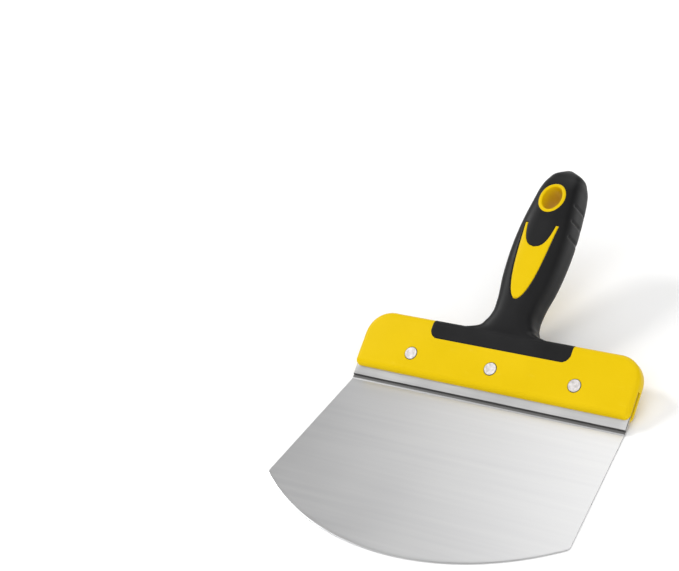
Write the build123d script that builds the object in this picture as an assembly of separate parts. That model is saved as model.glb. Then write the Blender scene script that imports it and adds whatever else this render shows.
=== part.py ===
from build123d import *
import math
import os

# Drywall taping knife, millimetres.  The blade lies flat on z = 0, X runs across
# the blade and +Y towards the handle.  Everything above the bend is drawn in the
# head's own plane (x across, y up the head from the bend, z out of the front face)
# and then tilted by the cant angle about the bend line.

# blade sheet
cant = 27.0                 # how far the head rises from the blade
blade_thick = 0.7
bend_radius = 2.0           # to the middle of the sheet
tip_width = 250.0
bend_width = 231.0
flare_length = 109.0        # bend line to the blade tips
edge_radius = 201.0         # bowed working edge
tip_round = 4.0
tang_top = 33.5             # how far the sheet reaches into the head
bend_y = 1.0                # the origin is this far short of the bend, on the flat

# stiffening strips either side of the sheet
strip_thick = 1.2
strip_bottom = 3.5

# moulded head
head_half_width = 116.5
head_bottom = 11.0
head_top = 58.0
head_front = 6.0
head_back = 7.5
head_corner = 20.0
head_lower_corner = 5.0
head_edge_round = 4.3

# grip flange wrapped round the head
flange_half_width = 60.0
flange_bottom = 42.5
flange_corner = 8.0
flange_depth = 2.0

# handle outside, stations from the head to the butt:
# height up the head, half width, front, back, corner radius
handle_stations = [
    (56.0, 44.0, 5.4, -6.9, 4.5),
    (60.5, 27.0, 6.0, -16.5, 8.0),
    (66.0, 21.1, 6.2, -19.0, 8.5),
    (73.0, 17.9, 6.2, -21.9, 9.0),
    (84.0, 17.7, 6.0, -23.2, 9.5),
    (103.0, 20.6, 5.6, -25.5, 10.5),
    (128.0, 22.2, 5.0, -27.8, 11.0),
    (152.0, 21.2, 4.0, -29.8, 11.0),
    (170.0, 19.0, 2.4, -31.2, 10.5),
    (183.0, 17.2, 0.5, -31.1, 10.0),
    (192.0, 15.3, -2.7, -28.8, 9.0),
    (198.0, 11.7, -5.8, -24.3, 7.0),
    (202.5, 3.6, -10.4, -15.2, 2.0),
]

# core bar inside the grip
core_half_width = 12.0
core_front = -1.0
core_back = 5.5
core_top = 184.0

# window in the grip that shows the core
window_bottom = 85.5
window_valley = 129.8
window_horn = 149.4
window_horn_x = 14.3
window_horn_tip = 2.2       # width of the blunt horn tips

# hanging eyelet
eye_height = 172.5
eye_half_width = 10.7
eye_half_height = 13.6
hole_half_width = 7.8
hole_half_height = 10.0

# side grooves near the butt
groove_heights = [145.0, 158.0, 171.0]
groove_width = 2.4
groove_depth = 0.8
groove_length = 20.0
groove_middle = -14.0

# rivets
rivet_height = 27.5
rivet_pitch = 69.6
rivet_head_dia = 10.2
rivet_head_thick = 1.4
rivet_proud = 0.3
shank_dia = 5.0
sleeve_dia = 7.0
clearance = 0.1
sleeve_gap = 0.5            # sleeve stops this far short of the rear strip

tilt = Location((0, bend_y, blade_thick / 2), (cant, 0, 0))
rivet_sides = {"left": -1, "middle": 0, "right": 1}
pack_half = blade_thick / 2 + strip_thick


def slab(half_width, low, high, back, front):
    """Plain block given by its limits in the head's plane."""
    block = Box(2 * half_width, high - low, front - back)
    return Pos(0, (low + high) / 2, (back + front) / 2) * block


def rivet_rods(diameter, back, front):
    """Three round bars through the rivet places."""
    rods = []
    for side in rivet_sides.values():
        rod = Cylinder(diameter / 2, front - back)
        rods.append(Pos(side * rivet_pitch, rivet_height, (back + front) / 2) * rod)
    return rods


def make_blade():
    """Sheet bent once, cut to the flared and bowed outline."""
    angle = math.radians(cant)
    half = blade_thick / 2
    cy = -bend_radius * math.tan(angle / 2)
    cz = half + bend_radius
    outer = bend_radius + half
    inner = bend_radius - half

    def on_arc(radius, turn):
        return (cy + radius * math.sin(turn), cz - radius * math.cos(turn))

    def on_tang(offset):
        y = tang_top * math.cos(angle) - offset * math.sin(angle)
        return (y, half + tang_top * math.sin(angle) + offset * math.cos(angle))

    far = -flare_length - edge_radius
    lines = Line((far, 0), (cy, 0))
    lines += ThreePointArc(on_arc(outer, 0), on_arc(outer, angle / 2), on_arc(outer, angle))
    lines += Line(on_arc(outer, angle), on_tang(-half))
    lines += Line(on_tang(-half), on_tang(half))
    lines += Line(on_tang(half), on_arc(inner, angle))
    lines += ThreePointArc(on_arc(inner, angle), on_arc(inner, angle / 2), on_arc(inner, 0))
    lines += Line((cy, blade_thick), (far, blade_thick))
    lines += Line((far, blade_thick), (far, 0))
    sheet = extrude(Plane.YZ * make_face(lines), amount=tip_width, both=True)

    half_tip = tip_width / 2
    sag = edge_radius - math.sqrt(edge_radius ** 2 - half_tip ** 2)
    top = tang_top
    corner = (bend_width / 2, 0)
    tip = (half_tip, -flare_length)
    edge = Line((-corner[0], top), (corner[0], top))
    edge += Line((corner[0], top), corner)
    edge += Line(corner, tip)
    edge += ThreePointArc(tip, (0, -flare_length - sag), (-tip[0], tip[1]))
    edge += Line((-tip[0], tip[1]), (-corner[0], 0))
    edge += Line((-corner[0], 0), (-corner[0], top))
    outline = make_face(edge)
    tips = outline.vertices().filter_by(lambda v: abs(v.Y + flare_length) < 0.01)
    outline = fillet(tips, tip_round)
    blade = Pos(0, bend_y) * (sheet & (Pos(0, 0, -5) * extrude(outline, amount=60)))
    for rod in rivet_rods(shank_dia + 2 * clearance, -8, 8):
        blade -= tilt * rod
    return blade


def make_strip(side):
    """Flat strip on the front (+1) or rear (-1) of the sheet, in the head's plane."""
    near = blade_thick / 2
    limits = sorted((side * near, side * pack_half))
    strip = slab(bend_width / 2, strip_bottom, tang_top, limits[0], limits[1])
    for rod in rivet_rods(shank_dia + 2 * clearance, -8, 8):
        strip -= rod
    return strip


def head_block():
    """Rounded bar across the top of the blade, before slots and recesses."""
    middle = (head_bottom + head_top) / 2
    plate = Pos(0, middle) * Rectangle(2 * head_half_width, head_top - head_bottom)
    upper = plate.vertices().group_by(Axis.Y)[-1]
    plate = fillet(upper, head_corner)
    lower = plate.vertices().group_by(Axis.Y)[0]
    plate = fillet(lower, head_lower_corner)
    block = Pos(0, 0, -head_back) * extrude(plate, amount=head_front + head_back)
    front_rim = block.faces().sort_by(Axis.Z)[-1].edges()
    back_rim = block.faces().sort_by(Axis.Z)[0].edges()
    block = fillet(front_rim + back_rim, head_edge_round)
    return block


def handle_body():
    """Handle outside: rounded sections blended from the head to the butt."""
    sections = []
    for height, half, front, back, radius in handle_stations:
        section = RectangleRounded(2 * half, front - back, radius)
        level = Plane((0, height, (front + back) / 2), x_dir=(1, 0, 0), z_dir=(0, 1, 0))
        sections.append(level * section)
    return loft(sections)


def window_prism():
    """Leaf-shaped bar with two horns, through the whole handle."""
    side = [
        (0, window_bottom),
        (6.8, window_bottom),
        (12.0, window_bottom + 20),
        (12.0, window_bottom + 42),
        (window_horn_x, window_horn),
    ]
    valley = [
        (window_horn_x - window_horn_tip, window_horn),
        (window_horn_x - 3.6, window_horn - 10),
        (8.5, window_valley),
        (0, window_valley),
    ]
    leaf = Bezier(side) + Line(side[-1], valley[0]) + Bezier(valley)
    leaf += Bezier([(-x, y) for x, y in reversed(valley)])
    leaf += Line((-valley[0][0], valley[0][1]), (-side[-1][0], side[-1][1]))
    leaf += Bezier([(-x, y) for x, y in reversed(side)])
    return Pos(0, 0, -40) * extrude(make_face(leaf), amount=80)


def oval_bar(half_width, half_height):
    """Upright oval bar through the handle at the eyelet."""
    oval = Pos(0, eye_height) * Ellipse(half_width, half_height)
    return Pos(0, 0, -40) * extrude(oval, amount=80)


def flange_prism():
    """Everything of the head that the grip flange wraps."""
    high = head_top + 4
    sheet = Pos(0, (flange_bottom + high) / 2) * Rectangle(2 * flange_half_width, high - flange_bottom)
    sheet = fillet(sheet.vertices().group_by(Axis.Y)[0], flange_corner)
    return Pos(0, 0, -20) * extrude(sheet, amount=40)


def make_core(head, body, wrap):
    """Yellow moulding: head, bar inside the handle, window land and eyelet tube."""
    inner = slab(flange_half_width, flange_bottom, head_top - flange_depth,
                 flange_depth - head_back, head_front - flange_depth)
    core = head - (wrap - inner)
    core += slab(core_half_width, head_top - 12, core_top, -core_back, core_front) & body
    core += window_prism() & body
    core += oval_bar(eye_half_width, eye_half_height) & body
    core -= oval_bar(hole_half_width, hole_half_height)
    core -= slab(tip_width, -20, tang_top, -pack_half, pack_half)
    for rod in rivet_rods(shank_dia + 2 * clearance, 0, 20):
        core -= rod
    for rod in rivet_rods(sleeve_dia, -20, 0):
        core -= rod
    for rod in rivet_rods(rivet_head_dia, head_front + rivet_proud - rivet_head_thick, 20):
        core -= rod
    for rod in rivet_rods(rivet_head_dia, -20, rivet_head_thick - rivet_proud - head_back):
        core -= rod
    return core


def make_grip(head, body, wrap, core):
    """Black overmould: handle outside and the flange round the head."""
    grip = body + (head & wrap)
    for height in groove_heights:
        half = handle_half_width(height)
        for side in (-1, 1):
            groove = Box(2 * groove_depth, groove_width, groove_length)
            grip -= Pos(side * half, height, groove_middle) * groove
    return grip - core - oval_bar(hole_half_width, hole_half_height)


def handle_half_width(height):
    """Half width of the handle at a height, read between its stations."""
    for low, high in zip(handle_stations, handle_stations[1:]):
        if low[0] <= height <= high[0]:
            share = (height - low[0]) / (high[0] - low[0])
            return low[1] + share * (high[1] - low[1])
    return 0.0


def make_rivet(side):
    """Front half of a rivet: flat head and solid shank."""
    front = head_front + rivet_proud
    back = -head_back - rivet_proud + rivet_head_thick
    cap = Pos(0, 0, front - rivet_head_thick / 2) * Cylinder(rivet_head_dia / 2, rivet_head_thick)
    shank = Pos(0, 0, (front + back) / 2) * Cylinder(shank_dia / 2, front - back)
    rivet = cap + shank
    rim = rivet.faces().sort_by(Axis.Z)[-1].edges()
    return Pos(side * rivet_pitch, rivet_height) * chamfer(rim, 0.25)


def make_rivet_cap(side):
    """Rear half of a rivet: flat head with a sleeve the shank drives into."""
    back = -head_back - rivet_proud
    inner_end = -pack_half - sleeve_gap
    plate = Pos(0, 0, back + rivet_head_thick / 2) * Cylinder(rivet_head_dia / 2, rivet_head_thick)
    sleeve = Pos(0, 0, (back + inner_end) / 2) * Cylinder(sleeve_dia / 2, inner_end - back)
    bore_start = back + rivet_head_thick
    bore = Pos(0, 0, (bore_start + 2) / 2) * Cylinder(shank_dia / 2, 2 - bore_start)
    cap = plate + sleeve - bore
    rim = cap.faces().sort_by(Axis.Z)[0].edges()
    return Pos(side * rivet_pitch, rivet_height) * chamfer(rim, 0.25)


def write(shape, node):
    export_step(shape, "parts/" + node + ".step")


os.makedirs("parts", exist_ok=True)
head = head_block()
body = handle_body()
wrap = flange_prism()
core = make_core(head, body, wrap)
write(make_blade(), "blade")
write(tilt * make_strip(1), "front_strip")
write(tilt * make_strip(-1), "rear_strip")
write(tilt * core, "core")
write(tilt * make_grip(head, body, wrap, core), "grip")
for name, side in rivet_sides.items():
    write(tilt * make_rivet(side), "rivet_" + name)
    write(tilt * make_rivet_cap(side), "rivet_cap_" + name)
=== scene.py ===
import math

import bmesh
import bpy
import numpy as np
from mathutils import Matrix, Vector


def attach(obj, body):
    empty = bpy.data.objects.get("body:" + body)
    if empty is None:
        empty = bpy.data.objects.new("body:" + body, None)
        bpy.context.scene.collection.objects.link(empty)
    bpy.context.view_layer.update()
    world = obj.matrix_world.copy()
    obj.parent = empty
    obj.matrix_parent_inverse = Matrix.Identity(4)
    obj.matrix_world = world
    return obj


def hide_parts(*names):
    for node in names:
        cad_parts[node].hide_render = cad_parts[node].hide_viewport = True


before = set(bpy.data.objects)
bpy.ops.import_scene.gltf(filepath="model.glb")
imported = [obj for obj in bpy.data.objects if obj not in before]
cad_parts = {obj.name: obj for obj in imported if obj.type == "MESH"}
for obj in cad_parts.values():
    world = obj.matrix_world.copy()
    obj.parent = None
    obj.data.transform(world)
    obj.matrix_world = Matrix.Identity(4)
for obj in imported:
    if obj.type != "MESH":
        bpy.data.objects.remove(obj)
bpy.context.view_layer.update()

mm = 0.001
cant = math.radians(27.0)  # angle between the blade and the head's plane
sheetHalf = 0.35  # half the blade's thickness, mm
bendPlace = 1.0  # the bend line lies this far behind the origin, mm


def toRow(x, s, z):
    # head plane to row frame: x stays, s runs up the head and z out of its face,
    # both turned by the cant about the bend line; mm in, metres out
    y = bendPlace + s * math.cos(cant) - z * math.sin(cant)
    up = sheetHalf + s * math.sin(cant) + z * math.cos(cant)
    return np.stack([x, y, up], axis=-1) * mm


def smoothStep(low, high, value):
    # 0 at low, 1 at high, 3t^2 - 2t^3 between; low may be above high
    t = np.clip((value - low) / (high - low), 0.0, 1.0)
    return t * t * (3.0 - 2.0 * t)


def smoothCurve(knots, values, at):
    # cubic Hermite through the knots, each tangent the slope between its two neighbours
    knots = np.asarray(knots, float)
    values = np.asarray(values, float)
    slope = np.gradient(values, knots)
    i = np.clip(np.searchsorted(knots, at) - 1, 0, len(knots) - 2)
    gap = knots[i + 1] - knots[i]
    t = np.clip((at - knots[i]) / gap, 0.0, 1.0)
    a = (1 + 2 * t) * (1 - t) ** 2 * values[i] + t * (1 - t) ** 2 * gap * slope[i]
    b = t * t * (3 - 2 * t) * values[i + 1] + t * t * (t - 1) * gap * slope[i + 1]
    return a + b


def gridFaces(rows, cols, closeRows=False, closeCols=False, start=0):
    # quads of a grid of rows x cols points, numbered row by row
    i = np.arange(rows if closeRows else rows - 1)
    j = np.arange(cols if closeCols else cols - 1)
    i, j = np.meshgrid(i, j, indexing="ij")
    a = i * cols + j
    b = i * cols + (j + 1) % cols
    c = ((i + 1) % rows) * cols + (j + 1) % cols
    d = ((i + 1) % rows) * cols + j
    return (np.stack([a, b, c, d], axis=-1).reshape(-1, 4) + start).tolist()


def makeObject(name, points, faces):
    # a mesh object at the origin, its place in its mesh
    mesh = bpy.data.meshes.new(name)
    mesh.from_pydata(np.asarray(points).reshape(-1, 3).tolist(), [], faces)
    mesh.update()
    piece = bpy.data.objects.new(name, mesh)
    bpy.context.scene.collection.objects.link(piece)
    return piece


def outward(piece, merge=0.00001):
    # doubles merged and faces turned outwards
    bm = bmesh.new()
    bm.from_mesh(piece.data)
    bmesh.ops.remove_doubles(bm, verts=bm.verts, dist=merge)
    bmesh.ops.dissolve_degenerate(bm, edges=bm.edges, dist=merge * 0.5)
    bmesh.ops.recalc_face_normals(bm, faces=bm.faces)
    bm.to_mesh(piece.data)
    bm.free()


def bake(piece):
    # the piece with its modifiers worked into the mesh
    depsgraph = bpy.context.evaluated_depsgraph_get()
    done = bpy.data.meshes.new_from_object(piece.evaluated_get(depsgraph))
    piece.modifiers.clear()
    old = piece.data
    piece.data = done
    bpy.data.meshes.remove(old)


def cut(piece, tools):
    # the tools' volumes taken out of the piece
    for tool in tools:
        step = piece.modifiers.new("cut", "BOOLEAN")
        step.operation = "DIFFERENCE"
        step.solver = "EXACT"
        step.object = tool
    bpy.context.view_layer.update()
    bake(piece)
    for tool in tools:
        bpy.data.objects.remove(tool)


def finishPiece(piece, material, replaces, angle=35.0):
    # smooth shading up to an angle, material, slot, body and the CAD node it stands for
    for polygon in piece.data.polygons:
        polygon.use_smooth = True
    piece.data.set_sharp_from_angle(angle=math.radians(angle))
    piece.data.materials.clear()
    piece.data.materials.append(material)
    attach(piece, "root")
    if replaces:
        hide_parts(replaces)
    return piece


class Val:
    # one socket of a node tree; arithmetic on it adds Math nodes
    def __init__(self, graph, socket):
        self.graph = graph
        self.socket = socket

    def maths(self, operation, *values):
        return self.graph.node("ShaderNodeMath", {"operation": operation}, values)

    def __add__(self, other):
        return self.maths("ADD", self, other)

    __radd__ = __add__

    def __mul__(self, other):
        return self.maths("MULTIPLY", self, other)

    __rmul__ = __mul__

    def __sub__(self, other):
        return self.maths("SUBTRACT", self, other)

    def __rsub__(self, other):
        return self.maths("SUBTRACT", other, self)


class Graph:
    # a node tree; every node on it comes from the node method
    def __init__(self, tree):
        self.tree = tree
        tree.nodes.clear()

    def node(self, kind, settings=None, inputs=None, output=0):
        made = self.tree.nodes.new(kind)
        for key, value in (settings or {}).items():
            if key == "stops":
                self.setStops(made, value)
            else:
                setattr(made, key, value)
        pairs = inputs.items() if isinstance(inputs, dict) else enumerate(inputs or [])
        for key, value in pairs:
            if isinstance(value, Val):
                self.tree.links.new(value.socket, made.inputs[key])
            else:
                made.inputs[key].default_value = value
        return None if output is None else Val(self, made.outputs[output])

    def setStops(self, ramp, stops):
        bands = ramp.color_ramp.elements
        while len(bands) < len(stops):
            bands.new(0.5)
        for band, (place, tint) in zip(bands, stops):
            band.position = place
            band.color = tint if len(tint) == 4 else (*tint, 1.0)

    def mapRange(self, value, low, high, newLow, newHigh, kind="LINEAR"):
        return self.node("ShaderNodeMapRange", {"clamp": True, "interpolation_type": kind},
                         {"Value": value, "From Min": low, "From Max": high,
                          "To Min": newLow, "To Max": newHigh})


class Finish(Graph):
    # a material: one Principled shader, patterned in Object coordinates
    def __init__(self, name, **constants):
        self.material = bpy.data.materials.new(name)
        self.material.use_nodes = True
        super().__init__(self.material.node_tree)
        numbers = {key.replace("_", " "): value for key, value in constants.items()}
        shader = self.node("ShaderNodeBsdfPrincipled", {}, numbers)
        self.node("ShaderNodeOutputMaterial", {}, {"Surface": shader}, None)
        self.sockets = shader.socket.node.inputs
        self.place = self.node("ShaderNodeTexCoord", output="Object")

    def headHeight(self):
        # how far up the head a point is, in mm from the bend: its length along the tilted plane
        along = (0.0, math.cos(cant) / mm, math.sin(cant) / mm)
        return self.node("ShaderNodeVectorMath", {"operation": "DOT_PRODUCT"},
                         [self.place, along], "Value") - bendPlace

    def noise(self, scale, detail=3.0, rough=0.55, stretch=(1, 1, 1), turn=(0, 0, 0)):
        # noise over the piece, stretched along its own axes
        spot = self.node("ShaderNodeMapping", {}, {"Vector": self.place, "Scale": stretch,
                                                  "Rotation": turn})
        return self.node("ShaderNodeTexNoise", {}, {"Vector": spot, "Scale": scale,
                                                   "Detail": detail, "Roughness": rough})

    def ramp(self, value, *stops):
        return self.node("ShaderNodeValToRGB", {"stops": stops}, [value])

    def blend(self, share, first, second):
        # colour mix by a share from 0 to 1; sockets 0, 6, 7 and 2 are the colour ones
        return self.node("ShaderNodeMix", {"data_type": "RGBA"},
                         {0: share, 6: first, 7: second}, 2)

    def bump(self, height, strength, distance):
        return self.node("ShaderNodeBump", {}, {"Height": height, "Strength": strength,
                                               "Distance": distance})

    def feed(self, **links):
        for key, value in links.items():
            self.tree.links.new(value.socket, self.sockets[key.replace("_", " ")])
        return self.material


def bladeSteel():
    # rolled sheet: fine long grain across the blade, cloudy polish, painted shade darkening the
    # bend
    g = Finish("bladeSteel", Metallic=1.0)
    grain = g.noise(240.0, 1.0, 0.5, (0.03, 1.0, 1.0))
    cloud = g.noise(12.0, 1.0, 0.4)
    tint = g.ramp(grain * 0.6 + cloud * 0.4, (0.3, (0.625, 0.625, 0.63)), (0.7, (0.67, 0.67, 0.67)))
    up = g.headHeight() + grain * 0.8
    # painted shade: the band from the bend up to the strip darkened, its roughness raised
    bendShade = g.mapRange(up, 1.1, 1.9, 0.0, 1.0)
    tint = g.blend(bendShade * 0.85, tint, (0.05, 0.048, 0.045, 1.0))
    rough = g.mapRange(cloud * 0.7 + grain * 0.3, 0.3, 0.7, 0.285, 0.325) + bendShade * 0.2
    return g.feed(Base_Color=tint, Roughness=rough, Normal=g.bump(grain, 0.05, 0.00003))


def stripSteel():
    # cold-rolled strip: short grain along its length, its lower edge darkened with painted shade
    g = Finish("stripSteel", Metallic=1.0)
    grain = g.noise(900.0, 2.0, 0.5, (0.04, 1.0, 1.0))
    cloud = g.noise(30.0, 3.0, 0.5)
    tint = g.ramp(grain * 0.5 + cloud * 0.5,
                  (0.35, (0.54, 0.54, 0.54)), (0.65, (0.60, 0.60, 0.595)))
    # painted shade: the strip darkened along its lower edge
    edge = g.mapRange(g.headHeight() + cloud * 0.5, 4.25, 4.55, 1.0, 0.0)
    tint = g.blend(edge * 0.9, tint, (0.035, 0.033, 0.03, 1.0))
    rough = g.mapRange(grain * 0.3 + cloud * 0.7, 0.35, 0.65, 0.32, 0.40)
    return g.feed(Base_Color=tint, Roughness=rough, Normal=g.bump(grain, 0.06, 0.00005))


def yellowPlastic():
    # semi-gloss moulding: barely uneven colour, orange-peel skin and fine scuffs
    g = Finish("yellowPlastic", Specular_IOR_Level=0.06)
    cloud = g.noise(22.0, 3.0, 0.5)
    peel = g.noise(420.0, 2.0, 0.5)
    scuff = g.noise(190.0, 5.0, 0.75, (0.3, 1.0, 1.0), (0.2, 0.1, 0.7))
    tint = g.ramp(cloud, (0.3, (0.71, 0.485, 0.0015)), (0.7, (0.75, 0.515, 0.003)))
    marks = g.mapRange(scuff, 0.62, 0.72, 0.0, 1.0)
    tint = g.blend(marks * 0.25, tint, (0.8, 0.6, 0.04, 1.0))
    rough = g.mapRange(cloud * 0.5 + peel * 0.5, 0.35, 0.65, 0.30, 0.40) + marks * 0.08
    return g.feed(Base_Color=tint, Roughness=rough, Normal=g.bump(peel, 0.08, 0.0001))


def blackRubber():
    # matt overmould: fine pebbled skin, dusty high spots
    g = Finish("blackRubber", Specular_IOR_Level=0.16)
    pebble = g.node("ShaderNodeTexVoronoi", {"feature": "SMOOTH_F1"},
                    {"Vector": g.place, "Scale": 1500.0})
    fine = g.noise(1600.0, 2.0, 0.6)
    cloud = g.noise(35.0, 4.0, 0.6)
    tint = g.ramp(cloud, (0.3, (0.0045, 0.0045, 0.0050)), (0.75, (0.0085, 0.0085, 0.0092)))
    rough = g.mapRange(cloud * 0.7 + fine * 0.3, 0.35, 0.65, 0.38, 0.48)
    return g.feed(Base_Color=tint, Roughness=rough,
                  Normal=g.bump(pebble * 0.6 + fine * 0.4, 0.25, 0.00012))


def rivetMetal():
    # tumbled aluminium: dull and slightly warm, mottled with small dents, painted shade dark round
    # the rim
    g = Finish("rivetMetal", Metallic=0.9)
    cloud = g.noise(420.0, 3.0, 0.6)
    fine = g.noise(1400.0, 2.0, 0.6)
    tint = g.ramp(cloud, (0.32, (0.52, 0.49, 0.47)), (0.68, (0.80, 0.76, 0.76)))
    # painted shade: the rivet darkened round its rim, by the rim attribute
    rim = g.node("ShaderNodeAttribute", {"attribute_name": "rim"}, output="Fac")
    tint = g.blend(rim * 0.8, tint, (0.10, 0.085, 0.06, 1.0))
    rough = g.mapRange(cloud * 0.5 + fine * 0.5, 0.35, 0.65, 0.38, 0.52)
    return g.feed(Base_Color=tint, Roughness=rough, Normal=g.bump(fine, 0.2, 0.00008))


blade = {
    "tipWidth": 250.0, "bendWidth": 231.0, "flareLength": 109.0, "edgeRadius": 201.0,
    "tipRound": 4.0, "bendRadius": 2.0, "tangTop": 33.5, "columns": 181,
    "cornerPoints": 12, "bendRows": 8, "tangRows": 7,
    # towards the working edge: place up the blade, thinning of each face, lift of the underside
    "edgeRise": (0.0, 0.004, 0.010, 0.018), "edgeThin": (0.22, 0.1, 0.03, 0.0),
    "edgeLift": (0.02, 0.01, 0.004, 0.0),
}


def bladeOutline(columns):
    # the working edge from left to right: a corner arc, the long bow, a corner arc.
    # each corner arc touches the side line and the bow
    half, reach, bow = blade["tipWidth"] / 2, blade["flareLength"], blade["edgeRadius"]
    r = blade["tipRound"]
    bowCentre = -reach + math.sqrt(bow ** 2 - half ** 2)
    side = np.array([half - blade["bendWidth"] / 2, -reach])
    side /= np.linalg.norm(side)
    inward = np.array([side[1], -side[0]])
    # centre of the corner arc: r inside the side line and bow - r from the bow's centre
    foot = np.array([blade["bendWidth"] / 2, 0.0]) + inward * r - np.array([0.0, bowCentre])
    along = foot @ side
    run = -along + math.sqrt(along ** 2 - foot @ foot + (bow - r) ** 2)
    centre = foot + side * run
    a0 = math.atan2(-inward[1], -inward[0])
    a1 = math.atan2(centre[1], centre[0])
    corner = np.linspace(a0, a1, blade["cornerPoints"])
    cornerX = centre[0] + r * np.cos(corner)
    cornerY = centre[1] + r * np.sin(corner)
    bowPoints = columns - 2 * (blade["cornerPoints"] - 1)
    sweep = np.linspace(a1, -math.pi - a1, bowPoints)[1:-1]
    x = np.concatenate([cornerX, bow * np.cos(sweep), -cornerX[::-1]])[::-1]
    y = np.concatenate([cornerY, bow * np.sin(sweep), cornerY[::-1]])[::-1] + bowCentre
    return x, y


def makeBlade(material):
    # mid-surface: rows from the working edge to the bend, round the bend, up the tang;
    # the closed sheet is that surface pushed out by the half thickness on each side
    edgeX, edgeY = bladeOutline(blade["columns"])
    cols, bendRows, tangRows = len(edgeX), blade["bendRows"], blade["tangRows"]
    rise = np.concatenate([blade["edgeRise"], np.linspace(0.03, 1.0, 40)])
    turn = np.linspace(0, cant, bendRows + 1)[1:]
    radius = blade["bendRadius"]
    setback = radius * math.tan(cant / 2)
    bendX = edgeX / edgeX.max() * blade["bendWidth"] / 2
    flatEnd = bendPlace - setback
    edgeY = edgeY + bendPlace
    x = edgeX[None, :] + rise[:, None] * (bendX - edgeX)[None, :]
    y = edgeY[None, :] + rise[:, None] * (flatEnd - edgeY)[None, :]
    flat = np.stack([x, y, np.full_like(x, sheetHalf)], -1)
    bendY = np.tile((flatEnd + radius * np.sin(turn))[:, None], (1, cols))
    bendZ = np.tile((sheetHalf + radius * (1 - np.cos(turn)))[:, None], (1, cols))
    bend = np.stack([np.tile(bendX, (bendRows, 1)), bendY, bendZ], -1)
    up = np.linspace(setback, blade["tangTop"], tangRows + 1)[1:]
    tang = toRow(np.tile(bendX, (tangRows, 1)), np.tile(up[:, None], (1, cols)),
                 np.zeros((tangRows, cols))) / mm
    facing = np.stack([np.zeros(bendRows), -np.sin(turn), np.cos(turn)], -1)
    middle = np.concatenate([flat, bend, tang])
    normal = np.concatenate([np.tile([0.0, 0.0, 1.0], (len(rise), cols, 1)),
                             np.tile(facing[:, None, :], (1, cols, 1)),
                             np.tile(facing[-1], (tangRows, cols, 1))])
    thick = np.full(len(middle), sheetHalf)
    edgeRows = len(blade["edgeRise"])
    thick[:edgeRows] -= blade["edgeThin"]
    thick = thick[:, None, None]
    top = middle + normal * thick
    under = middle - normal * thick
    under[:edgeRows, :, 2] = np.array(blade["edgeLift"])[:, None]
    loop = np.concatenate([top, under[::-1]]) * mm
    count = len(loop)
    faces = gridFaces(count, cols, closeRows=True)
    n = len(middle)
    for j in (0, cols - 1):  # the two side walls
        left = np.arange(n - 1) * cols + j
        right = (count - 1 - np.arange(n - 1)) * cols + j
        faces += np.stack([left, left + cols, right - cols, right], -1).tolist()
    piece = makeObject("bladeSheet", loop, faces)
    outward(piece)
    return finishPiece(piece, material, "blade", 25.0)


strip = {
    "halfWidth": 115.5, "bottom": 3.5, "top": 33.5, "near": 0.35, "far": 1.55, "round": 0.3,
    "plainHalf": 110.0, "plainColumns": 23,
}


def makeStrip(name, side, node, material):
    # a rounded-rectangle section carried across the blade; near each end the section
    # shrinks by r(1 - sin t) while x gains r cos t, which rounds the end's rim
    r = strip["round"]
    steps = np.linspace(0, math.pi / 2, 5)
    low, high = strip["bottom"] + r, strip["top"] - r
    near, far = strip["near"] + r, strip["far"] - r
    corners = [(high, far, 0), (low, far, 1), (low, near, 2), (high, near, 3)]
    s = np.concatenate([c[0] + r * np.cos(steps + c[2] * math.pi / 2) for c in corners])
    z = np.concatenate([c[1] + r * np.sin(steps + c[2] * math.pi / 2) for c in corners])
    midS, midZ = (strip["top"] + strip["bottom"]) / 2, (strip["near"] + strip["far"]) / 2
    end = strip["halfWidth"] - r + r * np.cos(steps)
    pull = r * (1 - np.sin(steps))
    plain = np.linspace(-strip["plainHalf"], strip["plainHalf"], strip["plainColumns"])
    xs = np.concatenate([-end, plain, end[::-1]])
    shrink = np.concatenate([pull, np.zeros(len(plain)), pull[::-1]])
    gridS = s[None, :] - np.sign(s - midS)[None, :] * shrink[:, None]
    gridZ = z[None, :] - np.sign(z - midZ)[None, :] * shrink[:, None]
    gridX = np.tile(xs[:, None], (1, len(s)))
    points = toRow(gridX, gridS, side * gridZ)
    faces = gridFaces(len(xs), len(s), closeCols=True)
    faces.append(list(range(len(s))))
    faces.append([(len(xs) - 1) * len(s) + k for k in range(len(s))])
    piece = makeObject(name, points, faces)
    outward(piece)
    return finishPiece(piece, material, node)


head = {
    "halfWidth": 116.5, "bottom": 11.0, "top": 58.0, "front": 6.0, "back": -7.5,
    "upperCorner": 20.0, "lowerCorner": 5.0, "edgeRound": 4.3, "slotTop": 33.6, "slotHalf": 1.62,
    "rivetSeat": 1.15, "cornerPoints": 17, "edgePoints": 9,
    # how far the cutters reach outside the head
    "cutSide": 130.0, "cutBelow": -5.0, "cutFront": 12.0, "cutBack": -14.0,
}


def circle(count):
    # evenly spaced angles once round
    return np.linspace(0, 2 * math.pi, count + 1)[:-1]


def headOutline():
    # rounded rectangle: corner centres, radii and the direction each point faces
    w, low, high = head["halfWidth"], head["bottom"], head["top"]
    big, small = head["upperCorner"], head["lowerCorner"]
    points = head["cornerPoints"]
    quarter = np.linspace(0, math.pi / 2, points)
    corners = [(w - big, high - big, big, 0), (-w + big, high - big, big, 1),
               (-w + small, low + small, small, 2), (w - small, low + small, small, 3)]
    cx, cs, radius = (np.repeat([c[k] for c in corners], points) for k in range(3))
    face = np.concatenate([quarter + c[3] * math.pi / 2 for c in corners])
    return cx, cs, radius, face


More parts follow.
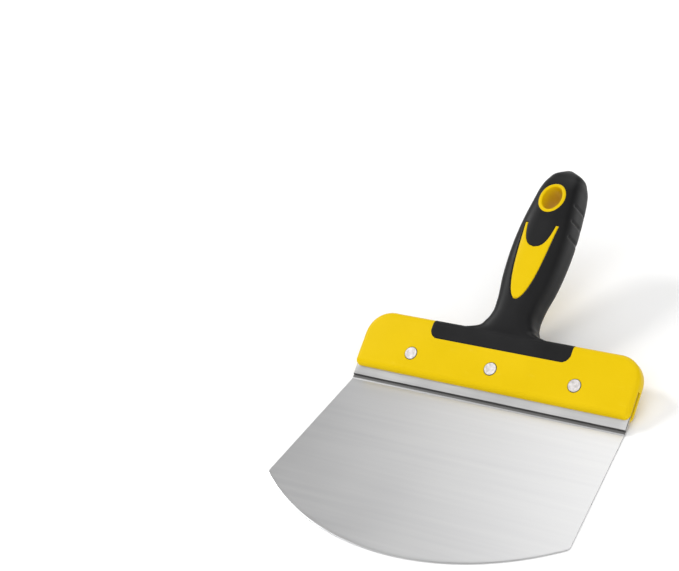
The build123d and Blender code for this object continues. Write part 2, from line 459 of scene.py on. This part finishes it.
def roundedSlab(front, back, edge, outline):
    # the outline at each depth, drawn in by edge * (1 - cos) as it turns over the rim
    cx, cs, radius, face = outline
    turn = np.linspace(0, math.pi / 2, head["edgePoints"])
    inset = np.concatenate([edge * (1 - np.cos(turn))[::-1], edge * (1 - np.cos(turn))])
    bulge = edge * np.sin(turn)
    depth = np.concatenate([(front - edge + bulge)[::-1], back + edge - bulge])
    reach = radius[None, :] - inset[:, None]
    x = cx[None, :] + reach * np.cos(face)[None, :]
    s = cs[None, :] + reach * np.sin(face)[None, :]
    z = np.tile(depth[:, None], (1, len(cx)))
    return x, s, z


def slabObject(name, x, s, z):
    # closed body from rings of points in the head's plane, a cap on the first and last ring
    rows, cols = x.shape
    faces = gridFaces(rows, cols, closeCols=True)
    faces.append(list(range(cols)))
    faces.append([(rows - 1) * cols + k for k in range(cols)])
    piece = makeObject(name, toRow(x, s, z), faces)
    outward(piece)
    return piece


def blockTool(low, high):
    # plain cutting block given by two corners in the head's plane
    x, s, z = np.meshgrid(*[np.array([a, b]) for a, b in zip(low, high)], indexing="ij")
    faces = [[0, 1, 3, 2], [4, 6, 7, 5], [0, 4, 5, 1], [2, 3, 7, 6], [0, 2, 6, 4], [1, 5, 7, 3]]
    tool = makeObject("tool", toRow(x, s, z), faces)
    outward(tool)
    return tool


def roundTool(x, s, radius, low, high):
    # cutter along the head's normal: centre plus radius times (cos, sin)
    angle = circle(64)
    gx = np.tile(x + radius * np.cos(angle), (2, 1))
    gs = np.tile(s + radius * np.sin(angle), (2, 1))
    gz = np.tile(np.array([[low], [high]]), (1, 64))
    return slabObject("tool", gx, gs, gz)


rivet = {
    "height": 27.5, "pitch": 69.6, "headRadius": 5.1, "shankRadius": 2.5, "proud": 0.3,
    "thick": 1.4, "gap": 0.28, "sleeveRadius": 3.5, "sleeveEnd": -2.05, "rimRound": 0.4,
    "sleeveBore": 2.6, "shankEnd": -6.2,
    # shallow dimple in the middle of a cap: radii and depths
    "dimpleRadii": (0.01, 1.0, 1.25), "dimpleDepths": (0.3, 0.28, 0.0),
}


def makeHead(material):
    # rounded slab less the blade's slot and a round seat for each rivet head
    x, s, z = roundedSlab(head["front"], head["back"], head["edgeRound"], headOutline())
    piece = slabObject("headShell", x, s, z)
    side, seat = head["cutSide"], head["rivetSeat"]
    tools = [blockTool((-side, head["cutBelow"], -head["slotHalf"]),
                       (side, head["slotTop"], head["slotHalf"]))]
    hole = rivet["headRadius"] + rivet["gap"]
    for k in (-1, 0, 1):
        for low, high in ((head["front"] - seat, head["cutFront"]),
                          (head["cutBack"], head["back"] + seat)):
            tools.append(roundTool(k * rivet["pitch"], rivet["height"], hole, low, high))
    cut(piece, tools)
    outward(piece)
    return finishPiece(piece, material, None)


handle = {
    # height up the head, half width, front, back
    "stations": np.array([
        (50.0, 44.0, 4.0, -5.5), (56.0, 44.0, 5.4, -6.9), (60.5, 27.0, 6.0, -16.5),
        (66.0, 21.1, 6.2, -19.0), (73.0, 17.9, 6.2, -21.9), (84.0, 17.7, 6.0, -23.2),
        (103.0, 20.6, 5.6, -25.5), (128.0, 22.2, 5.0, -27.8), (152.0, 21.2, 4.0, -29.8),
        (170.0, 19.0, 2.4, -31.2), (183.0, 17.2, 0.5, -31.1), (192.0, 15.3, -2.7, -28.8),
        (198.0, 11.7, -5.8, -24.3), (202.5, 2.2, -11.1, -14.3)]),
    "frontPower": 3.6, "backPower": 3.4, "buttEase": 1.1, "buttRange": (182.0, 200.0),
    # rows straight up the handle, then rows drawn together over the crown of the butt
    "low": 50.0, "high": 196.0, "crown": 6.5, "rows": 130, "crownRows": 14, "around": 120,
    "grooves": (145.0, 158.0, 171.0), "grooveWidth": 1.3, "grooveDepth": 0.9, "grooveLow": 130.0,
    # where the grooves fade: share of the half width, depth towards the front and the back
    "grooveSide": (0.80, 0.92), "grooveFront": (-2.0, -5.0), "grooveBack": (-26.0, -23.0),
    "flangeHalf": 60.0, "flangeBottom": 42.5, "flangeCorner": 8.0, "flangeProud": 0.22,
    "flangeColumns": 60, "flangeBend": 15, "voxel": 0.62, "smoothFactor": 0.5, "smoothRounds": 5,
}


def handleAt(s):
    # half width, front and back at a height, smooth through the stations
    table = handle["stations"]
    return [smoothCurve(table[:, 0], table[:, k], s) for k in (1, 2, 3)]


def handleFace(x, s, side):
    # the handle's front (+1) or back (-1) face: middle + side * deep * (1 - |x/half|^n)^(1/n)
    half, front, back = handleAt(s)
    middle, deep = (front + back) / 2, (front - back) / 2
    power = handle["frontPower"] if side > 0 else handle["backPower"]
    share = np.clip(1 - np.abs(x / half) ** power, 0, 1)
    return middle + side * deep * share ** (1 / power)


def handleShell():
    # superellipse sections up the handle: |x/half|^n + |z/deep|^n = 1, n easing towards
    # an oval at the butt
    crown = np.sin(np.linspace(0, math.pi / 2, handle["crownRows"]))[1:]
    s = np.concatenate([np.linspace(handle["low"], handle["high"], handle["rows"]),
                        handle["high"] + handle["crown"] * crown])
    angle = circle(handle["around"])
    half, front, back = handleAt(s)
    middle, deep = (front + back) / 2, (front - back) / 2
    cosA, sinA = np.cos(angle)[None, :], np.sin(angle)[None, :]
    power = np.where(sinA > 0, handle["frontPower"], handle["backPower"])
    power = power - handle["buttEase"] * smoothStep(*handle["buttRange"], s)[:, None]
    x = half[:, None] * np.sign(cosA) * np.abs(cosA) ** (2 / power)
    z = middle[:, None] + deep[:, None] * np.sign(sinA) * np.abs(sinA) ** (2 / power)
    return slabObject("gripBody", x, np.tile(s[:, None], (1, len(angle))), z)


def flangeShell():
    # the head's own rounded section carried across, its lower edge lifted round the corners
    proud, r = handle["flangeProud"], head["edgeRound"]
    front, back, top = head["front"] + proud, head["back"] - proud, head["top"] + proud * 0.5
    turn = np.linspace(0, math.pi / 2, head["edgePoints"])
    sTop = np.concatenate([top - r + r * np.sin(turn), (top - r + r * np.sin(turn))[::-1]])
    zTop = np.concatenate([front - r + r * np.cos(turn), (back + r - r * np.cos(turn))[::-1]])
    w, c = handle["flangeHalf"], handle["flangeCorner"]
    bend = np.linspace(0, math.pi / 2, handle["flangeBend"])
    right = w - c + c * np.sin(bend)
    plain = np.linspace(-w + c, w - c, handle["flangeColumns"])[1:-1]
    xs = np.concatenate([-right[::-1], plain, right])
    lift = c - np.sqrt(np.clip(c ** 2 - np.clip(np.abs(xs) - (w - c), 0, c) ** 2, 0, None))
    low = handle["flangeBottom"] + lift
    s = np.concatenate([low[:, None], np.tile(sTop, (len(xs), 1)), low[:, None]], axis=1)
    z = np.tile(np.concatenate([[front], zTop, [back]]), (len(xs), 1))
    x = np.tile(xs[:, None], (1, z.shape[1]))
    return slabObject("flange", x, s, z)


windowShape = {
    "bottom": 85.5, "valley": 129.8, "horn": 149.4, "hornX": 14.3, "tip": 2.2, "gap": 0.22,
    "pocket": 0.9, "lip": 0.55,
    # control points of the outer edge: half widths, and heights above the lowest point
    "bellyX": 6.8, "sideX": 12.0, "sideLow": 20.0, "sideHigh": 42.0,
    # control points of the inner edge: half width, then distances in and down from the horn
    "valleyX": 8.5, "hornIn": 3.6, "hornDown": 10.0,
    # the part of the handle that is tested for the pocket
    "areaLow": 80.0, "areaHigh": 154.0, "areaHalf": 17.0, "faceDepth": 5.0,
}


def bezier(points, t):
    # Bernstein sum over the control points
    n = len(points) - 1
    weights = np.stack([math.comb(n, k) * t ** k * (1 - t) ** (n - k) for k in range(n + 1)], -1)
    return weights @ np.asarray(points, float)


def windowEdges(steps):
    # right-hand outer edge from the tip to the horn, and inner edge from the valley to the horn
    w = windowShape
    b, v, h, hx = (w[k] for k in ("bottom", "valley", "horn", "hornX"))
    t = np.linspace(0, 1, steps)
    outer = bezier([(0, b), (w["bellyX"], b), (w["sideX"], b + w["sideLow"]),
                    (w["sideX"], b + w["sideHigh"]), (hx, h)], t)
    inner = bezier([(0, v), (w["valleyX"], v), (hx - w["hornIn"], h - w["hornDown"]),
                    (hx - w["tip"], h)], t)
    return outer, inner


def windowDistance(x, s):
    # signed distance to the window's outline in the face plane, negative inside
    outer, inner = windowEdges(60)
    edge = np.concatenate([outer, inner[::-1]])
    edge = np.concatenate([edge, edge[::-1] * [-1, 1]])
    start, end = edge[:-1], edge[1:]
    keep = np.linalg.norm(end - start, axis=1) > 1e-6
    start, end = start[keep], end[keep]
    p = np.stack([x, s], -1)[:, None, :]
    run = end - start
    t = np.clip(((p - start) * run).sum(-1) / (run ** 2).sum(-1), 0, 1)
    near = np.linalg.norm(p - start - t[..., None] * run, axis=-1).min(1)
    outerX = np.interp(s, outer[:, 1], outer[:, 0])
    innerX = np.where(s > windowShape["valley"], np.interp(s, inner[:, 1], inner[:, 0]), 0.0)
    inside = (np.abs(x) < outerX) & (np.abs(x) >= innerX)
    inside &= (s > windowShape["bottom"]) & (s < windowShape["horn"])
    return np.where(inside, -near, near)


def headPlaneOf(points):
    # row frame back to the head's plane, mm
    y, up = points[:, 1] / mm - bendPlace, points[:, 2] / mm - sheetHalf
    s = y * math.cos(cant) + up * math.sin(cant)
    z = -y * math.sin(cant) + up * math.cos(cant)
    return points[:, 0] / mm, s, z


def makeGrip(material):
    # handle and flange joined by a voxel skin, eased, then pushed in along the normals
    body = handleShell()
    flange = flangeShell()
    bm = bmesh.new()
    bm.from_mesh(body.data)
    bm.from_mesh(flange.data)
    bm.to_mesh(body.data)
    bm.free()
    bpy.data.objects.remove(flange)
    skin = body.modifiers.new("skin", "REMESH")
    skin.mode = "VOXEL"
    skin.voxel_size = handle["voxel"] * mm
    ease = body.modifiers.new("ease", "SMOOTH")
    ease.factor, ease.iterations = handle["smoothFactor"], handle["smoothRounds"]
    bpy.context.view_layer.update()
    bake(body)
    mesh = body.data
    co = np.zeros(len(mesh.vertices) * 3)
    normal = np.zeros(len(mesh.vertices) * 3)
    mesh.vertices.foreach_get("co", co)
    mesh.vertices.foreach_get("normal", normal)
    co, normal = co.reshape(-1, 3), normal.reshape(-1, 3)
    x, s, z = headPlaneOf(co)
    # pocket round the window, on both faces
    push = np.zeros(len(co))
    area = (s > windowShape["areaLow"]) & (s < windowShape["areaHigh"])
    area &= np.abs(x) < windowShape["areaHalf"]
    gap = windowDistance(x[area], s[area])
    middle = np.interp(s[area], handle["stations"][:, 0], handle["stations"][:, 2:].mean(1))
    onFace = np.abs(z[area] - middle) > windowShape["faceDepth"]
    depth = windowShape["pocket"] * (1 - smoothStep(-0.5, windowShape["lip"], gap))
    push[area] -= np.where(onFace, depth, 0)
    # side grooves near the butt, each a bell curve of the height
    half = handleAt(s)[0]
    atSide = smoothStep(*handle["grooveSide"], np.abs(x) / half)
    atSide = atSide * smoothStep(*handle["grooveFront"], z)
    atSide = atSide * smoothStep(*handle["grooveBack"], z) * (s > handle["grooveLow"])
    for level in handle["grooves"]:
        push -= handle["grooveDepth"] * np.exp(-((s - level) / handle["grooveWidth"]) ** 2) * atSide
    co += normal * push[:, None] * mm
    mesh.vertices.foreach_set("co", co.ravel())
    mesh.update()
    reach = eye["rim"] - eye["lap"]
    cut(body, [ovalTool(eye["halfWidth"] + reach, eye["halfHeight"] + reach)])
    outward(body)
    return finishPiece(body, material, "grip", 40.0)


eye = {
    "height": 172.5, "halfWidth": 7.8, "halfHeight": 10.0, "rim": 3.1, "proud": 0.45,
    # rise of the rounded rim, lap of the rim over the grip, wall inside the grip and its sinking
    "rise": 1.1, "lap": 0.6, "wall": 0.9, "sink": 1.6,
    # the rims follow the faces at this share of the width and no higher than this
    "faceShare": 0.92, "faceTop": 186.0, "cutBack": -40.0, "cutFront": 30.0,
    "rimPoints": 15, "wallPoints": 5, "around": 160,
}


def ovalTool(halfWidth, halfHeight):
    # oval cutter along the head's normal: centre plus (halfWidth cos, halfHeight sin)
    angle = circle(128)
    gx = np.tile(halfWidth * np.cos(angle), (2, 1))
    gs = np.tile(eye["height"] + halfHeight * np.sin(angle), (2, 1))
    gz = np.tile(np.array([[eye["cutBack"]], [eye["cutFront"]]]), (1, 128))
    return slabObject("tool", gx, gs, gz)


def makeEyelet(material):
    # a rim-and-tube section carried round the oval; the rims follow the handle's two faces
    angle, rims, walls = circle(eye["around"]), eye["rimPoints"], eye["wallPoints"]
    roll = np.linspace(0, math.pi, rims)
    w, sunk = eye["rim"], eye["proud"] - eye["rise"]
    rim = w / 2 + w / 2 * np.cos(roll)
    off = np.concatenate([rim, np.zeros(walls), rim[::-1], [w - eye["wall"]] * 2])
    lift = (eye["rise"] * np.sin(roll) + sunk)[:, None]
    x = (eye["halfWidth"] + off)[:, None] * np.cos(angle)[None, :]
    s = eye["height"] + (eye["halfHeight"] + off)[:, None] * np.sin(angle)[None, :]
    faceX, faceS = x * eye["faceShare"], np.minimum(s, eye["faceTop"])
    front, back = handleFace(faceX, faceS, 1), handleFace(faceX, faceS, -1)
    frontRim = front[:rims] + lift
    first = rims + walls
    wallTop, wallEnd = frontRim[-1], back[first] - sunk
    share = np.linspace(0, 1, walls + 2)[1:-1, None]
    z = np.concatenate([frontRim, wallTop * (1 - share) + wallEnd * share,
                        back[first:first + rims] - lift[::-1],
                        back[-2:-1] + eye["sink"], front[-1:] - eye["sink"]])
    points = toRow(x, s, z)
    faces = gridFaces(*x.shape, closeRows=True, closeCols=True)
    piece = makeObject("eyeletTube", points, faces)
    outward(piece)
    return finishPiece(piece, material, None, 50.0)


inlay = {
    "rows": 70, "columns": 41, "hornRows": 34, "crowding": 1.6, "lowInset": 0.02, "hornInset": 0.05,
    # quarter-round at the edge: its width and fall; then height over the face, wall, weld in m
    "roll": 1.0, "fall": 0.75, "proud": 0.06, "wall": 1.4, "weld": 0.00002,
}


def makeInlay(name, side, material):
    # lower leaf: rows across between the outer edges; each horn: rows between inner and
    # outer edge; the skin falls at its edge by fall * (1 - sqrt(1 - (1 - depth/roll)^2))
    outer, inner = windowEdges(120)
    bottom, valley = windowShape["bottom"], windowShape["valley"]
    cols = inlay["columns"]
    share = 0.5 - 0.5 * np.cos(np.linspace(0, math.pi, cols))
    crowded = np.linspace(0, 1, inlay["rows"]) ** inlay["crowding"]
    heights = bottom + inlay["lowInset"] + (valley - bottom) * crowded
    ox = np.interp(heights, outer[:, 1], outer[:, 0])
    leafX = -ox[:, None] + 2 * ox[:, None] * share[None, :]
    leafS = np.tile(heights[:, None], (1, cols))
    hornRise = windowShape["horn"] - inlay["hornInset"] - valley
    up = valley + hornRise * np.linspace(0, 1, inlay["hornRows"])
    ox = np.interp(up, outer[:, 1], outer[:, 0])
    ix = np.interp(up, inner[:, 1], inner[:, 0])
    halfShare = share[cols // 2:] * 2 - 1
    hornX = ix[:, None] + (ox - ix)[:, None] * halfShare[None, :]
    hornS = np.tile(up[:, None], (1, len(halfShare)))
    points, faces, base = [], [], 0
    for gx, gs in ((leafX, leafS), (hornX, hornS), (-hornX, hornS)):
        flatX, flatS = gx.ravel(), gs.ravel()
        depth = -windowDistance(flatX, flatS)
        roll = np.clip(depth / inlay["roll"], 0, 1)
        drop = inlay["fall"] * (1 - np.sqrt(1 - (1 - roll) ** 2))
        drawnX = flatX - np.sign(flatX) * windowShape["gap"] * (1 - roll)
        z = handleFace(drawnX, flatS, side) + side * (inlay["proud"] - drop)
        points.append(toRow(drawnX, flatS, z))
        faces += gridFaces(*gx.shape, start=base)
        base += gx.size
    piece = makeObject(name, np.concatenate(points), faces)
    outward(piece, inlay["weld"])
    # a wall under the skin closes the piece
    wall = piece.modifiers.new("wall", "SOLIDIFY")
    wall.thickness = inlay["wall"] * mm
    wall.offset = -1.0
    bpy.context.view_layer.update()
    bake(piece)
    return finishPiece(piece, material, None, 50.0)


def lathe(name, x, radii, depths):
    # a profile turned round the rivet's own axis: centre plus radius times (cos, sin)
    angle = circle(72)
    gx = x + radii[:, None] * np.cos(angle)[None, :]
    gs = rivet["height"] + radii[:, None] * np.sin(angle)[None, :]
    gz = np.tile(depths[:, None], (1, len(angle)))
    return slabObject(name, gx, gs, gz)


def markRimShade(piece, x, inner):
    # point attribute, 1 from the given radius out: the rim that is darkened with painted shade
    co = np.zeros(len(piece.data.vertices) * 3)
    piece.data.vertices.foreach_get("co", co)
    across, up, _ = headPlaneOf(co.reshape(-1, 3))
    away = np.hypot(across - x, up - rivet["height"])
    mark = piece.data.attributes.new("rim", "FLOAT", "POINT")
    mark.data.foreach_set("value", smoothStep(inner - 0.1, inner + 0.15, away))


def makeRivets(material):
    # each half is a flat disc with a quarter-round rim, then its shank or sleeve
    r, t, edge = rivet["headRadius"], rivet["thick"], rivet["rimRound"]
    shank, sleeve, bore = rivet["shankRadius"], rivet["sleeveRadius"], rivet["sleeveBore"]
    shankEnd, sleeveEnd = rivet["shankEnd"], rivet["sleeveEnd"]
    front, back = head["front"] + rivet["proud"], head["back"] - rivet["proud"]
    turn = np.linspace(0, math.pi / 2, 7)
    rimRadii, rimDrop = r - edge + edge * np.sin(turn), edge * np.cos(turn)
    disc = [0.01, 1.6, 3.4, r - edge - 0.1]
    dimple = back + np.array(rivet["dimpleDepths"])
    for label, k in (("left", -1), ("middle", 0), ("right", 1)):
        x = k * rivet["pitch"]
        radii = np.concatenate([disc, rimRadii, [r, shank, shank]])
        depths = np.concatenate([np.full(4, front), front - edge + rimDrop,
                                 [front - t, front - t, shankEnd]])
        piece = lathe("rivetHead_" + label, x, radii, depths)
        markRimShade(piece, x, r - edge)
        finishPiece(piece, material, "rivet_" + label, 30.0)
        radii = np.concatenate([rivet["dimpleRadii"], disc[2:], rimRadii,
                                [r, sleeve, sleeve, bore, bore]])
        depths = np.concatenate([dimple, [back, back], back + edge - rimDrop,
                                 [back + t, back + t, sleeveEnd, sleeveEnd, back + t]])
        piece = lathe("rivetCap_" + label, x, radii, depths)
        markRimShade(piece, x, r - edge)
        finishPiece(piece, material, "rivet_cap_" + label, 30.0)


steel = bladeSteel()
makeBlade(steel)
print("blade done")
stripFinish = stripSteel()
makeStrip("stripFront", 1, "front_strip", stripFinish)
makeStrip("stripRear", -1, "rear_strip", stripFinish)
print("strips done")
yellow = yellowPlastic()
shell = makeHead(yellow)
eyelet = makeEyelet(yellow)
inlayFront = makeInlay("inlayFront", 1, yellow)
inlayBack = makeInlay("inlayBack", -1, yellow)
for piece in (shell, eyelet, inlayFront, inlayBack):
    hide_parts("core")
print("yellow moulding done")
makeGrip(blackRubber())
print("grip done")
makeRivets(rivetMetal())
print("rivets done")


stage = {
    # floor, in m
    "floorTint": (0.95, 0.95, 0.95, 1.0), "floorHalf": 6.0, "floorHeight": -0.0002,
    # room brightness overhead and low down, and the rise over which one becomes the other
    "ceiling": 0.25, "walls": 0.85, "wallTop": (0.25, 0.5),
    # the broad soft panel that the blade mirrors: its turn, rise and edges in degrees
    "panel": 2.35, "panelTurn": 98.5, "panelRise": 45.0, "panelInner": 9.0, "panelOuter": 31.0,
    # soft lamps far off: direction, apparent width in degrees, strength
    "lamps": {
        "keyLamp": ((-0.759, 0.107, 0.643), 16.0, 1.15),
        "frontLamp": ((0.354, -0.612, 0.707), 105.0, 2.1),
    },
}


def makeFloor():
    # a wide plain sheet just under the blade
    corners = np.array([(-1, -1), (1, -1), (1, 1), (-1, 1)]) * stage["floorHalf"]
    points = np.column_stack([corners, np.full(4, stage["floorHeight"])])
    floor = makeObject("studioFloor", points, [[0, 1, 2, 3]])
    paper = Finish("studioPaper", Roughness=0.9, Base_Color=stage["floorTint"])
    floor.data.materials.append(paper.material)


def makeWorld():
    # pale walls under a dimmer ceiling, and one soft round panel whose brightness rises
    # smoothly towards its middle
    world = bpy.data.worlds.new("studioRoom")
    bpy.context.scene.world = world
    world.use_nodes = True
    g = Graph(world.node_tree)
    turn, rise = math.radians(stage["panelTurn"]), math.radians(stage["panelRise"])
    towards = (math.cos(turn) * math.cos(rise), math.sin(turn) * math.cos(rise), math.sin(rise))
    look = g.node("ShaderNodeTexCoord", output="Generated")
    share = g.node("ShaderNodeVectorMath", {"operation": "DOT_PRODUCT"}, [look, towards], "Value")
    glow = g.mapRange(share, math.cos(math.radians(stage["panelOuter"])),
                      math.cos(math.radians(stage["panelInner"])), 0.0, stage["panel"],
                      "SMOOTHSTEP")
    height = g.node("ShaderNodeSeparateXYZ", {}, [look], "Z")
    glow = glow + g.mapRange(height, *stage["wallTop"], stage["walls"], stage["ceiling"],
                             "SMOOTHSTEP")
    room = g.node("ShaderNodeBackground", {}, {"Strength": glow})
    g.node("ShaderNodeOutputWorld", {}, {"Surface": room}, None)


def makeLamp(name, source, width, power):
    # a lamp so far off that only its direction and apparent width count
    data = bpy.data.lights.new(name, "SUN")
    data.angle = math.radians(width)
    data.energy = power
    lamp = bpy.data.objects.new(name, data)
    bpy.context.scene.collection.objects.link(lamp)
    lamp.rotation_euler = (-Vector(source)).to_track_quat("-Z", "Y").to_euler()


view = {
    # where the camera stands, in m, its two directions, and its lens and sensor in mm
    "place": (0.597144, -0.750115, 0.834044),
    "right": (0.821314, 0.510614, -0.254393), "ahead": (-0.55127, 0.595647, -0.584214),
    "lens": 90.48, "sensor": 36.0,
}


def makeCamera():
    data = bpy.data.cameras.new("studioCamera")
    data.sensor_width = view["sensor"]
    data.lens = view["lens"]
    camera = bpy.data.objects.new("studioCamera", data)
    bpy.context.scene.collection.objects.link(camera)
    ahead = Vector(view["ahead"]).normalized()
    right = Vector(view["right"])
    right = (right - ahead * right.dot(ahead)).normalized()
    up = right.cross(ahead)
    turn = Matrix((right, up, -ahead)).transposed().to_4x4()
    camera.matrix_world = Matrix.Translation(Vector(view["place"])) @ turn
    bpy.context.scene.camera = camera


makeFloor()
makeWorld()
for lampName, lampFacts in stage["lamps"].items():
    makeLamp(lampName, *lampFacts)
makeCamera()
bpy.context.scene.view_settings.view_transform = "Standard"
print("stage done")
